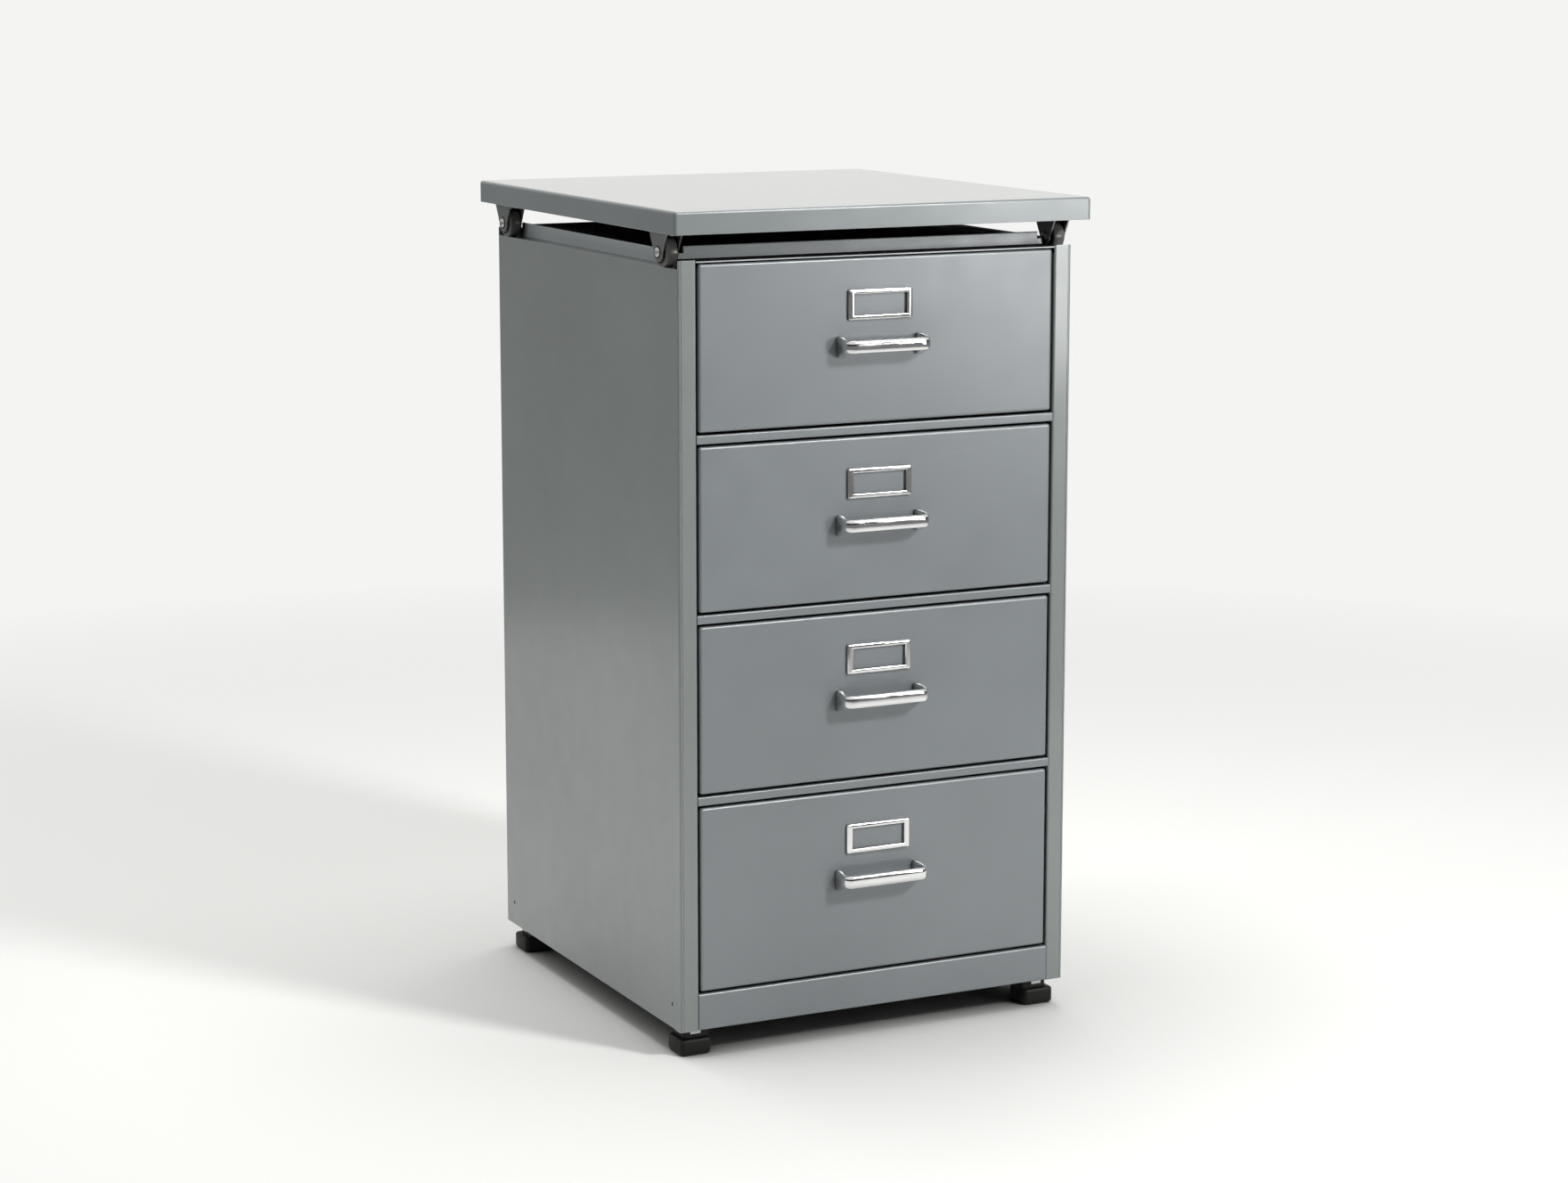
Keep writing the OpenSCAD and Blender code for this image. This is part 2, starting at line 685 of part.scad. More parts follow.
// Zinc plates between feet and cabinet, each with two tabs down the neck's outer sides
module foot_plates() {
    z = foot_block_h + foot_neck_h;
    neck_w = foot_block_w - foot_rebate;
    plate_w = neck_w - foot_plate_in + foot_plate_t;
    start = foot_plate_in - (neck_w + foot_rebate) / 2;
    out = (neck_w - foot_rebate) / 2;
    tab = out - foot_tab_off - foot_tab_w;
    tab_h = foot_tab_h + foot_plate_t;
    color(zinc) placed() at_feet() difference() {
        union() {
            translate([start, start, z]) cube([plate_w, plate_w, foot_plate_t]);
            translate([out, tab, z - foot_tab_h]) cube([foot_plate_t, foot_tab_w, tab_h]);
            translate([tab, out, z - foot_tab_h]) cube([foot_tab_w, foot_plate_t, tab_h]);
        }
        translate([0, 0, z - cut])
            cylinder(r = foot_screw_r + hole_fit, h = foot_plate_t + 2 * cut);
    }
}

// Screws from inside the cabinet into the feet
module foot_screws() {
    z = base_z + 2 * sheet;
    end_z = foot_block_h - 0.7 * foot_screw_in;
    color(zinc) placed() at_feet() {
        translate([0, 0, end_z]) cylinder(r = foot_screw_r - tight_fit, h = z - end_z);
        translate([0, 0, z]) cylinder(r = 1.7 * foot_screw_r, h = foot_screw_r);
    }
}

// ---------- top on castors ----------

// Folded steel top with a flange turned in all round below
module top_plate() {
    w = 2 * top_x;
    d = top_back - top_front;
    y = (top_back + top_front) / 2;
    color(paint) placed() difference() {
        translate([0, y, top_z]) soft_block(w, d, top_h, top_r);
        translate([0, y, top_z + top_sheet]) linear_extrude(top_h - 2 * top_sheet)
            round_rect(w - 2 * top_sheet, d - 2 * top_sheet, top_r - top_sheet);
        translate([0, y, top_z - cut]) linear_extrude(top_sheet + 2 * cut)
            square([w - 2 * top_flange, d - 2 * top_flange], center = true);
        at_castors() for (s = [-1, 1]) translate([0, s * fork_screw_off, top_z - cut])
            cylinder(r = fork_screw_r + hole_fit, h = top_sheet + 2 * cut);
    }
}

// One ear of a fork: wide at the top, round at the axle
module ear_plan() {
    difference() {
        union() {
            circle(fork_end_r);
            polygon([[-fork_end_r, 0], [fork_end_r, 0],
                [fork_len / 2, fork_rise], [-fork_len / 2, fork_rise]]);
        }
        circle(axle_r + tight_fit);
    }
}

// Pressed fork: two ears joined by a crown under the top
module fork_form() {
    difference() {
        union() {
            for (s = [-1, 1]) translate([s * (fork_x - fork_sheet / 2), 0, axle_z])
                rotate([90, 0, 90]) linear_extrude(fork_sheet, center = true) ear_plan();
            translate([-fork_x, -fork_len / 2, top_z - fork_sheet])
                cube([2 * fork_x, fork_len, fork_sheet]);
        }
        for (s = [-1, 1]) translate([0, s * fork_screw_off, top_z - fork_sheet - cut])
            cylinder(r = fork_screw_r + hole_fit, h = fork_sheet + 2 * cut);
    }
}

module castor_fork(sx, i) {
    color(zinc) placed() scale([sx, 1, 1]) translate([wheel_x, castor_ys[i], 0]) fork_form();
}

// Solid wheel with a raised tread ring, a sunk web and a hub
module castor_wheel(sx, i) {
    side = wheel_w / 2;
    web = side - web_sink;
    bore = axle_r + axle_fit;
    hub = axle_r + hub_t;
    tread = wheel_r - tread_w;
    rim = tread - web_sink / 4;
    edge = wheel_r - tread_edge;
    color(black) placed() scale([sx, 1, 1]) translate([wheel_x, castor_ys[i], axle_z])
        rotate([0, 90, 0]) rotate_extrude() polygon([
            [bore, -side], [hub, -side], [hub, -web], [rim, -web], [tread, -side],
            [edge, -side], [wheel_r, tread_edge - side], [wheel_r, side - tread_edge],
            [edge, side], [tread, side], [rim, web], [hub, web], [hub, side], [bore, side]]);
}

// Axle bolts with a round head outside and a nut inside
module castor_axles() {
    color(zinc) placed() at_castors() translate([0, 0, axle_z]) rotate([0, 90, 0]) {
        cylinder(r = axle_r, h = 2 * fork_x, center = true);
        translate([0, 0, fork_x]) cylinder(r = 1.6 * axle_r, h = axle_head_t);
        translate([0, 0, -fork_x - axle_head_t])
            cylinder(r = 1.6 * axle_r, h = axle_head_t, $fn = 6);
    }
}

// Screws that hold the forks to the flange of the top, with nuts inside
module castor_screws() {
    head_t = 0.8 * fork_screw_r;
    nut_t = 1.3 * fork_screw_r;
    head_z = top_z - fork_sheet - head_t;
    nut_z = top_z + top_sheet;
    color(zinc) placed() at_castors() for (s = [-1, 1]) translate([0, s * fork_screw_off, 0]) {
        translate([0, 0, head_z]) cylinder(r = fork_screw_r, h = nut_z + 1.2 * nut_t - head_z);
        translate([0, 0, head_z]) cylinder(r = 1.8 * fork_screw_r, h = head_t);
        translate([0, 0, nut_z]) cylinder(r = 1.9 * fork_screw_r, h = nut_t, $fn = 6);
    }
}

left_side_panel();
right_side_panel();
back_panel();
cap_panel();
front_rail(1);  // front_rail_1
front_rail(2);  // front_rail_2
front_rail(3);  // front_rail_3
base_rail();
bottom_pan();
runner_pair(1);  // runner_pair_1
runner_pair(2);  // runner_pair_2
runner_pair(3);  // runner_pair_3
runner_pair(4);  // runner_pair_4
runner_glides();
foot(-1, -1);  // foot_front_left
foot(1, -1);  // foot_front_right
foot(-1, 1);  // foot_rear_left
foot(1, 1);  // foot_rear_right
foot_plates();
foot_screws();
drawer_front(1);  // drawer_1_front
drawer_box(1);  // drawer_1_box
slide_pair(1);  // drawer_1_slide_pair
drawer_glides(1);  // drawer_1_glides
drawer_handle(1);  // drawer_1_handle
handle_screws(1);  // drawer_1_handle_screws
label_holder(1);  // drawer_1_label_holder
drawer_front(2);  // drawer_2_front
drawer_box(2);  // drawer_2_box
slide_pair(2);  // drawer_2_slide_pair
drawer_glides(2);  // drawer_2_glides
drawer_handle(2);  // drawer_2_handle
handle_screws(2);  // drawer_2_handle_screws
label_holder(2);  // drawer_2_label_holder
drawer_front(3);  // drawer_3_front
drawer_box(3);  // drawer_3_box
slide_pair(3);  // drawer_3_slide_pair
drawer_glides(3);  // drawer_3_glides
drawer_handle(3);  // drawer_3_handle
handle_screws(3);  // drawer_3_handle_screws
label_holder(3);  // drawer_3_label_holder
drawer_front(4);  // drawer_4_front
drawer_box(4);  // drawer_4_box
slide_pair(4);  // drawer_4_slide_pair
drawer_glides(4);  // drawer_4_glides
drawer_handle(4);  // drawer_4_handle
handle_screws(4);  // drawer_4_handle_screws
label_holder(4);  // drawer_4_label_holder
top_plate();
castor_axles();
castor_screws();
castor_fork(-1, 0);  // castor_fork_front_left
castor_fork(1, 0);  // castor_fork_front_right
castor_fork(-1, 1);  // castor_fork_rear_left
castor_fork(1, 1);  // castor_fork_rear_right
castor_wheel(-1, 0);  // castor_wheel_front_left
castor_wheel(1, 0);  // castor_wheel_front_right
castor_wheel(-1, 1);  // castor_wheel_rear_left
castor_wheel(1, 1);  // castor_wheel_rear_right
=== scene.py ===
"""Finishes a steel drawer cabinet: bright hardware, moulded feet, castors, enamel and a plain studio."""

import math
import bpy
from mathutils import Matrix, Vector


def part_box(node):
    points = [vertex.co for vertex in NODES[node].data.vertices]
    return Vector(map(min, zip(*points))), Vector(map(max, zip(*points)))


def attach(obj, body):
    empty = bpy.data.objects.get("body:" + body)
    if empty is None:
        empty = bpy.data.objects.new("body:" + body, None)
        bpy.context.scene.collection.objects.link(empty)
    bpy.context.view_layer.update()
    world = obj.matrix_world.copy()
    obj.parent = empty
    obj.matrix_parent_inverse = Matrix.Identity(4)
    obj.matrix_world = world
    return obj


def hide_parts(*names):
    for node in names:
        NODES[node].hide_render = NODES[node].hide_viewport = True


bl_info = {
    "name": "Drawer Cabinet Finishing",
    "version": (1, 0, 0),
    "blender": (4, 5, 0),
    "location": "3D View > Sidebar > Cabinet",
    "description": "Adds bow handles, label holders, feet and castor wheels to a drawer cabinet "
    "and gives every piece its finish",
    "category": "Object",
}

import bpy
import numpy as np
from bpy.props import FloatProperty, FloatVectorProperty, PointerProperty
from mathutils import Vector

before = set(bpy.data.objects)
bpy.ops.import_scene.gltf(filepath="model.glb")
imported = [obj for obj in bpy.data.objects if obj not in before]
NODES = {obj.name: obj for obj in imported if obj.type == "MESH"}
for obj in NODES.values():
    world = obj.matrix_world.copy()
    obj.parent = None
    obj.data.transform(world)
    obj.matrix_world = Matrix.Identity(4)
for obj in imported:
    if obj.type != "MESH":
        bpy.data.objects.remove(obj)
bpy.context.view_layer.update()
MM = 0.001
DRAWERS = (1, 2, 3, 4)
CORNERS = ("front_left", "front_right", "rear_left", "rear_right")

# the enamel: lengths in metres unless the name says otherwise
ENAMEL_DRIFT_MM = 260
ENAMEL_ROUGH_PATCH_MM = 35
ENAMEL_LIGHTER = 1.11
ENAMEL_EDGE_RADIUS = 0.0013
# painted highlight: the light colour painted along the enamel's edges
PAINTED_EDGE_HIGHLIGHT = "#C6CACA"
PEEL_STRENGTH = 0.16
PEEL_HEIGHT = 0.00012
WIPED_PEEL_STRENGTH = 0.03
WIPED_POLISH_ROUGH = 0.08
# part of the normal that points up, from where a face starts to look up to where it does wholly
LOOKS_UP = (0.7, 0.95)
# painted shade: the near black that recesses are darkened to
PAINTED_SHADE_COLOUR = "#141412"

# the camera: place in mm, turn and tilt in radians, focal length and frame width in pixels
CAMERA_PLACE_MM = (-1586.29, -3249.11, 1077.16)
CAMERA_YAW = 0.45627
CAMERA_PITCH = 0.16838
CAMERA_SHIFT_Y = -0.03
CAMERA_FAR = 100.0
SENSOR_MM = 36.0
FOCAL_PX = 3956.18
FRAME_WIDTH_PX = 1760

# the stage, in metres
FLOOR_RADIUS = 30.0
FLOOR_SIDES = 96
BACKDROP = "#F4F4F3"
LAMP_AIM = (0.0, -0.2, 0.5)
# name, degrees to the right of the front, degrees up, distance, width, height,
# share of the key light's power, mirrored by polished faces
LAMPS = (
    ("key", 29, 32, 3.2, 0.45, 0.45, 1.0, True),
    ("low key", 32, 7, 3.2, 0.4, 0.4, 0.29, True),
    ("low fill", 34, 0, 3.2, 0.4, 0.4, 0.06, True),
    ("above", 168, 75.5, 3.0, 2.4, 2.4, 1.22, True),
    ("left", -112, 14, 2.4, 1.0, 1.4, 0.14, False),
)


# ---------------------------------------------------------------- surfaces


def ease(x):
    """3x^2 - 2x^3 with x held between 0 and 1: a soft step."""
    x = np.clip(x, 0.0, 1.0)
    return x * x * (3.0 - 2.0 * x)


def skin(grid, closed_rows=False, capped=False):
    """Vertices and faces of a grid of points, m rows of n points each, where each row is a closed ring.

    Face (i, j) joins points (i, j), (i, j+1), (i+1, j+1), (i+1, j). With closed_rows the last row
    joins the first; with capped each end ring gets a fan round its mean point. The faces are turned
    outwards: the sum of a . (b x c) / 6 over all triangles, the volume, has to be positive.
    """
    m, n = grid.shape[:2]
    points = grid.reshape(-1, 3)
    index = np.arange(m * n).reshape(m, n)
    below = index if closed_rows else index[:-1]
    above = np.roll(index, -1, axis=0) if closed_rows else index[1:]
    quads = np.stack([below, np.roll(below, -1, 1), np.roll(above, -1, 1), above], axis=-1).reshape(-1, 4)
    faces = [quads]
    if capped:
        points = np.vstack([points, grid[0].mean(0), grid[-1].mean(0)])
        first, last = index[0], index[-1]
        faces.append(np.stack([np.roll(first, -1), first, np.full(n, m * n)], axis=-1))
        faces.append(np.stack([last, np.roll(last, -1), np.full(n, m * n + 1)], axis=-1))
    volume = 0.0
    for block in faces:
        for k in range(1, block.shape[1] - 1):
            a, b, c = points[block[:, 0]], points[block[:, k]], points[block[:, k + 1]]
            volume += np.einsum("ij,ij->i", a, np.cross(b, c)).sum()
    if volume < 0:
        faces = [block[:, ::-1] for block in faces]
    return points, [face for block in faces for face in block.tolist()]


def lathe(profile, segments):
    """A closed profile of (radius, distance) points turned round the X axis.

    Point (k, t) is (distance_k, radius_k sin t, radius_k cos t), with t through a full turn.
    """
    profile = np.asarray(profile, float)
    turn = np.arange(segments) * 2 * np.pi / segments
    radius, along = profile[:, :1], profile[:, 1:]
    grid = np.stack([along + 0 * turn, radius * np.sin(turn), radius * np.cos(turn)], axis=-1)
    return skin(grid, closed_rows=True)


def rounded_rings(half_x, half_y, radius, steps=7):
    """Rounded rectangles, one per row: corner centre plus radius (cos t, sin t) over each quarter turn."""
    half_x, half_y, radius = (np.asarray(v, float).reshape(-1, 1, 1) for v in (half_x, half_y, radius))
    t = (np.arange(4)[:, None] + np.linspace(0, 1, steps)[None, :]) * np.pi / 2
    sign_x = np.array([1, -1, -1, 1])[:, None]
    sign_y = np.array([1, 1, -1, -1])[:, None]
    x = sign_x * (half_x - radius) + radius * np.cos(t)
    y = sign_y * (half_y - radius) + radius * np.sin(t)
    return np.stack([x, y], axis=-1).reshape(x.shape[0], -1, 2)


def make_piece(name, parts, material, body, replaced, sharp=32.0, more=(), shares=None):
    """One object from (points in mm, faces) parts, riding on a body and standing for CAD nodes."""
    points, faces, first = [], [], 0
    for part_points, part_faces in parts:
        points.append(part_points)
        faces += [[i + first for i in face] for face in part_faces]
        first += len(part_points)
    mesh = bpy.data.meshes.new(name)
    mesh.from_pydata((np.vstack(points) * MM).tolist(), [], faces)
    mesh.polygons.foreach_set("use_smooth", np.ones(len(mesh.polygons), bool))
    mesh.set_sharp_from_angle(angle=math.radians(sharp))
    for finish in (material, *more):
        mesh.materials.append(finish)
    if shares is not None:
        mesh.polygons.foreach_set("material_index", shares)
    mesh.update()
    piece = bpy.data.objects.new(name, mesh)
    bpy.context.scene.collection.objects.link(piece)
    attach(piece, body)
    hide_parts(*replaced)


def node_box(node):
    """Lowest corner, highest corner and middle of a CAD node, in mm."""
    low, high = (np.array(corner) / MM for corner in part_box(node))
    return low, high, (low + high) / 2


# ---------------------------------------------------------------- finishes


def linear(code):
    """sRGB hex to linear RGBA: c / 12.92 below 0.04045, else ((c + 0.055) / 1.055) ^ 2.4."""
    c = np.array([int(code[i : i + 2], 16) for i in (1, 3, 5)]) / 255.0
    c = np.where(c <= 0.04045, c / 12.92, ((c + 0.055) / 1.055) ** 2.4)
    return (*c.tolist(), 1.0)


def add(tree, kind, values=None, links=None, **settings):
    """Adds a node with its settings, the values of its sockets and the links into them."""
    node = tree.nodes.new(kind)
    for key, value in settings.items():
        setattr(node, key, value)
    for socket, value in (values or {}).items():
        node.inputs[socket].default_value = value
    for socket, source in (links or {}).items():
        tree.links.new(source, node.inputs[socket])
    return node


def blank(name):
    """A new material with an empty node tree, and its tree."""
    material = bpy.data.materials.new(name)
    material.use_nodes = True
    material.node_tree.nodes.clear()
    return material, material.node_tree


def close(tree, shader):
    """Links a shader node to the material's output."""
    add(tree, "ShaderNodeOutputMaterial", links={"Surface": shader.outputs[0]})


def noise(tree, where, size_mm, detail=2.0, stretch=(1, 1, 1)):
    """Noise with lumps about size_mm across, on Object coordinates, and its output from 0 to 1."""
    mapping = add(tree, "ShaderNodeMapping", {"Scale": stretch}, {"Vector": where})
    return add(
        tree,
        "ShaderNodeTexNoise",
        {"Scale": 1.0 / (size_mm * MM), "Detail": detail, "Roughness": 0.5},
        {"Vector": mapping.outputs[0]},
    ).outputs["Fac"]


def span(tree, source, low, high, to_low, to_high):
    """Maps low..high of a value to to_low..to_high, held at both ends."""
    return add(
        tree,
        "ShaderNodeMapRange",
        {"From Min": low, "From Max": high, "To Min": to_low, "To Max": to_high},
        {"Value": source},
    ).outputs[0]


def blend_colour(tree, share, first, second):
    """Colour from first to second by share; each is a hex code, linear RGBA or an output."""
    node = add(tree, "ShaderNodeMix", data_type="RGBA", clamp_factor=True, links={0: share})
    for socket, colour in ((6, first), (7, second)):
        if isinstance(colour, bpy.types.NodeSocket):
            tree.links.new(colour, node.inputs[socket])
        else:
            node.inputs[socket].default_value = linear(colour) if isinstance(colour, str) else colour
    return node.outputs[2]


def combine(tree, operation, *sources):
    """The output of a math node with the sources on its sockets."""
    return add(tree, "ShaderNodeMath", operation=operation, links=dict(enumerate(sources))).outputs[0]


def place_on(tree):
    """The Object coordinates of the shaded point."""
    return add(tree, "ShaderNodeTexCoord").outputs["Object"]


def normal_of(tree):
    """The direction that the shaded face looks in."""
    return add(tree, "ShaderNodeNewGeometry").outputs["Normal"]


def axis_of(tree, vector, axis):
    """One axis of a vector."""
    return add(tree, "ShaderNodeSeparateXYZ", links={0: vector}).outputs[axis]


def bump_of(tree, strength, height, source, normal=None):
    """A bump node: source from 0 to 1 raises the surface by height, in metres."""
    links = {"Height": source}
    if normal is not None:
        links["Normal"] = normal
    return add(tree, "ShaderNodeBump", {"Strength": strength, "Distance": height}, links)


def mixed_shader(tree, share, first, second):
    """A shader that goes from first to second by share."""
    links = {0: share, 1: first.outputs[0], 2: second.outputs[0]}
    return add(tree, "ShaderNodeMixShader", links=links)


def in_recesses(tree, shader, reach, darkest=0.08, open_from=0.32, level=None, samples=8):
    """The shader, passing to a painted shade of near black where less than open_from of the view within
    reach is free.

    level is a second reach, in metres, for faces that look straight up or down.
    """
    free = add(tree, "ShaderNodeAmbientOcclusion", {"Distance": reach}, samples=samples).outputs["AO"]
    shade_share = span(tree, free, darkest, open_from, 1, 0)
    # painted shade as well on faces that look up or down with something close over or under them
    if level:
        level_dark, level_open = 0.22, 0.55
        level_from, level_to = 0.8, 0.95
        tilt = combine(tree, "ABSOLUTE", axis_of(tree, normal_of(tree), "Z"))
        above = add(tree, "ShaderNodeAmbientOcclusion", {"Distance": level}, samples=8).outputs["AO"]
        above = span(tree, above, level_dark, level_open, 1, 0)
        above = combine(tree, "MULTIPLY", above, span(tree, tilt, level_from, level_to, 0, 1))
        shade_share = combine(tree, "MAXIMUM", shade_share, above)
    painted_shade = add(tree, "ShaderNodeBsdfDiffuse", {"Color": linear(PAINTED_SHADE_COLOUR)})
    return mixed_shader(tree, shade_share, shader, painted_shade)


def stoved_enamel(area, sheen, polish=0.0, polish_rough=0.08, wiped=None, level=None):
    """Stoved enamel on sheet steel: satin, drifting in tone, with a fine orange peel, painted highlights
    along its edges and painted shade in its recesses.

    sheen is the roughness; polish and polish_rough are the weight and roughness of the clear coat,
    and wiped is its weight on faces that look up.
    """
    name = "stoved_grey_enamel_" + area
    found = bpy.data.materials.get(name)
    if found:
        return found
    finish = bpy.context.scene.cabinet_finish
    colour = tuple(getattr(finish, area + "_grey"))
    lighter = (*(channel * ENAMEL_LIGHTER for channel in colour[:3]), 1.0)
    material, tree = blank(name)
    where = place_on(tree)
    drift = noise(tree, where, ENAMEL_DRIFT_MM, 3)
    base = blend_colour(tree, span(tree, drift, 0.35, 0.65, 0, 1), colour, lighter)
    # painted highlight: a lighter colour is painted along folded edges, where the rounded normal turns
    # away from the plain one
    rounded = add(tree, "ShaderNodeBevel", {"Radius": ENAMEL_EDGE_RADIUS}, samples=6)
    plain = normal_of(tree)
    turned = add(
        tree,
        "ShaderNodeVectorMath",
        operation="DOT_PRODUCT",
        links={0: rounded.outputs[0], 1: plain},
    )
    edge = span(tree, turned.outputs["Value"], 0.80, 0.985, 0.6, 0.0)
    base = blend_colour(tree, edge, base, PAINTED_EDGE_HIGHLIGHT)
    peel = noise(tree, where, finish.peel_size / MM, 2)
    bump = bump_of(tree, PEEL_STRENGTH, PEEL_HEIGHT, peel, rounded.outputs[0])
    patches = noise(tree, where, ENAMEL_ROUGH_PATCH_MM, 3)
    rough = span(tree, patches, 0.3, 0.7, sheen - 0.04, sheen + 0.05)
    shader = add(
        tree,
        "ShaderNodeBsdfPrincipled",
        {
            "Metallic": 0.12,
            "IOR": 1.5,
            "Coat Weight": polish,
            "Coat Roughness": polish_rough,
            "Coat IOR": 1.5,
        },
        {"Base Color": base, "Roughness": rough, "Normal": bump.outputs[0]},
    )
    if wiped is not None:
        # years of wiping have polished the faces that look up
        up = axis_of(tree, plain, "Z")
        for low, high, socket in (
            (polish, wiped, shader.inputs["Coat Weight"]),
            (polish_rough, WIPED_POLISH_ROUGH, shader.inputs["Coat Roughness"]),
            (PEEL_STRENGTH, WIPED_PEEL_STRENGTH, bump.inputs["Strength"]),
        ):
            tree.links.new(span(tree, up, *LOOKS_UP, low, high), socket)
    # painted shade: recesses, and faces that something lies close over, darken to near black
    close(tree, in_recesses(tree, shader, reach=0.05, darkest=0.06, open_from=0.25, level=level))
    return material


def front_enamel():
    """The enamel of the drawer fronts and rails, a little glossier than the sides."""
    return stoved_enamel("fronts", sheen=0.35, polish=0.4, polish_rough=0.17)


def bright_chrome():
    """Decorative chrome plate on pressed steel: a near mirror, slightly wavy, with faint smears and
    painted shade in its recesses.
    """
    found = bpy.data.materials.get("chrome_plate")
    if found:
        return found
    material, tree = blank("chrome_plate")
    where = place_on(tree)
    smear = noise(tree, where, size_mm=9, detail=3, stretch=(0.4, 1, 1))
    ripple = noise(tree, where, size_mm=6, detail=1)
    wave = bump_of(tree, strength=0.12, height=0.0002, source=ripple)
    shader = add(
        tree,
        "ShaderNodeBsdfPrincipled",
        {"Metallic": 1.0},
        {
            "Base Color": blend_colour(tree, smear, "#D9DADA", "#E9EAEA"),
            "Roughness": span(tree, smear, 0.35, 0.75, 0.05, 0.13),
            "Normal": wave.outputs[0],
        },
    )
    # painted shade: the chrome darkens where other parts crowd close, as round the feet
    close(tree, in_recesses(tree, shader, reach=0.03, darkest=0.35, open_from=0.8))
    return material


def zinc_plated(name="zinc_plated_steel", dull="#A9ABAA", bright="#CBCCCB", roughness=0.26):
    """Zinc plate on pressed or rolled steel: soft grey metal, finely frosted, with painted shade in its
    recesses.
    """
    found = bpy.data.materials.get(name)
    if found:
        return found
    material, tree = blank(name)
    where = place_on(tree)
    frost = noise(tree, where, size_mm=3.5, detail=4)
    rounded = add(tree, "ShaderNodeBevel", {"Radius": 0.0006}, samples=4)
    grain = noise(tree, where, size_mm=0.8, detail=2)
    bump = bump_of(tree, strength=0.2, height=0.0001, source=grain, normal=rounded.outputs[0])
    shader = add(
        tree,
        "ShaderNodeBsdfPrincipled",
        {"Metallic": 1.0},
        {
            "Base Color": blend_colour(tree, frost, dull, bright),
            "Roughness": span(tree, frost, 0.3, 0.7, roughness, roughness + 0.14),
            "Normal": bump.outputs[0],
        },
    )
    # painted shade: the zinc darkens in its recesses
    close(tree, in_recesses(tree, shader, reach=0.012, darkest=0.15, open_from=0.5))
    return material


def moulded_plastic(name, colour, dusty, roughness, grain_mm=0.7, shine=0.5):
    """Moulded plastic or rubber: nearly flat in colour, fine grain, pale dust on what faces up."""
    found = bpy.data.materials.get(name)
    if found:
        return found
    material, tree = blank(name)
    where = place_on(tree)
    up = axis_of(tree, normal_of(tree), "Z")
    cloud = noise(tree, where, size_mm=12, detail=4)
    settled = combine(
        tree,
        "MULTIPLY",
        span(tree, up, 0.1, 0.9, 0.06, 0.5),
        span(tree, cloud, 0.35, 0.7, 0.2, 1.0),
    )
    grain = noise(tree, where, size_mm=grain_mm, detail=2)
    bump = bump_of(tree, strength=0.3, height=0.0001, source=grain)
    shader = add(
        tree,
        "ShaderNodeBsdfPrincipled",
        {"IOR": 1.49, "Specular IOR Level": shine},
        {
            "Base Color": blend_colour(tree, settled, colour, dusty),
            "Roughness": span(tree, cloud, 0.3, 0.7, roughness - 0.06, roughness + 0.08),
            "Normal": bump.outputs[0],
        },
    )
    close(tree, shader)
    return material


def moulded_nylon():
    """The milky nylon of the glides."""
    return moulded_plastic("moulded_nylon", "#D8D5C8", "#BDB9AB", roughness=0.4)


def dress(nodes, material):
    """Puts a finish on CAD nodes."""
    for node in nodes:
        for slot in NODES[node].material_slots:
            slot.material = material


# ---------------------------------------------------------------- settings


class CabinetHandleSettings(bpy.types.PropertyGroup):
    bar_height: FloatProperty(
        name="Bar height",
        description="Height of the handle's bar",
        default=0.0127,
        unit="LENGTH",
    )
    bar_thickness: FloatProperty(
        name="Bar thickness",
        description="Thickness of the handle's bar",
        default=0.0055,
        unit="LENGTH",
    )
    bar_rise: FloatProperty(
        name="Bar rise",
        description="Height of the bar's middle over the middle of the feet",
        default=0.0018,
        unit="LENGTH",
    )
    foot_width: FloatProperty(
        name="Foot width",
        description="Width of each foot of the handle",
        default=0.009,
        unit="LENGTH",
    )
    foot_inset: FloatProperty(
        name="Foot inset",
        description="How far each foot ends inside the handle's full width",
        default=0.0035,
        unit="LENGTH",
    )
    frame_height: FloatProperty(
        name="Frame height",
        description="Reach of the label holder in front of the drawer",
        default=0.0036,
        unit="LENGTH",
    )


class CabinetFinishSettings(bpy.types.PropertyGroup):
    sides_grey: FloatVectorProperty(
        name="Side grey",
        description="Enamel of the sides, back and bottom",
        subtype="COLOR",
        size=4,
        default=linear("#727877"),
    )
    fronts_grey: FloatVectorProperty(
        name="Front grey",
        description="Enamel of the drawer fronts and rails",
        subtype="COLOR",
        size=4,
        default=linear("#72777A"),
    )
    # painted light: the cap's grey is lighter than the other enamel, standing in for light that the strip
    # under the top does not get
    cap_grey: FloatVectorProperty(
        name="Cap grey",
        description="Enamel of the cap under the top",
        subtype="COLOR",
        size=4,
        default=linear("#969C9E"),
    )
    top_grey: FloatVectorProperty(
        name="Top grey",
        description="Enamel of the top",
        subtype="COLOR",
        size=4,
        default=linear("#6F7576"),
    )
    boxes_grey: FloatVectorProperty(
        name="Box grey",
        description="Enamel of the drawer boxes",
        subtype="COLOR",
        size=4,
        default=linear("#6F7474"),
    )
    peel_size: FloatProperty(
        name="Orange peel",
        description="Width of one lump of the orange peel",
        default=0.0016,
        unit="LENGTH",
    )


class CabinetStageSettings(bpy.types.PropertyGroup):
    key_power: FloatProperty(
        name="Key light",
        description="Power of the soft light at the right",
        default=67.0,
        subtype="POWER",
    )
    ambient: FloatProperty(
        name="Ambient",
        description="Strength of the even light from all round",
        default=0.66,
    )


# ---------------------------------------------------------------- pieces


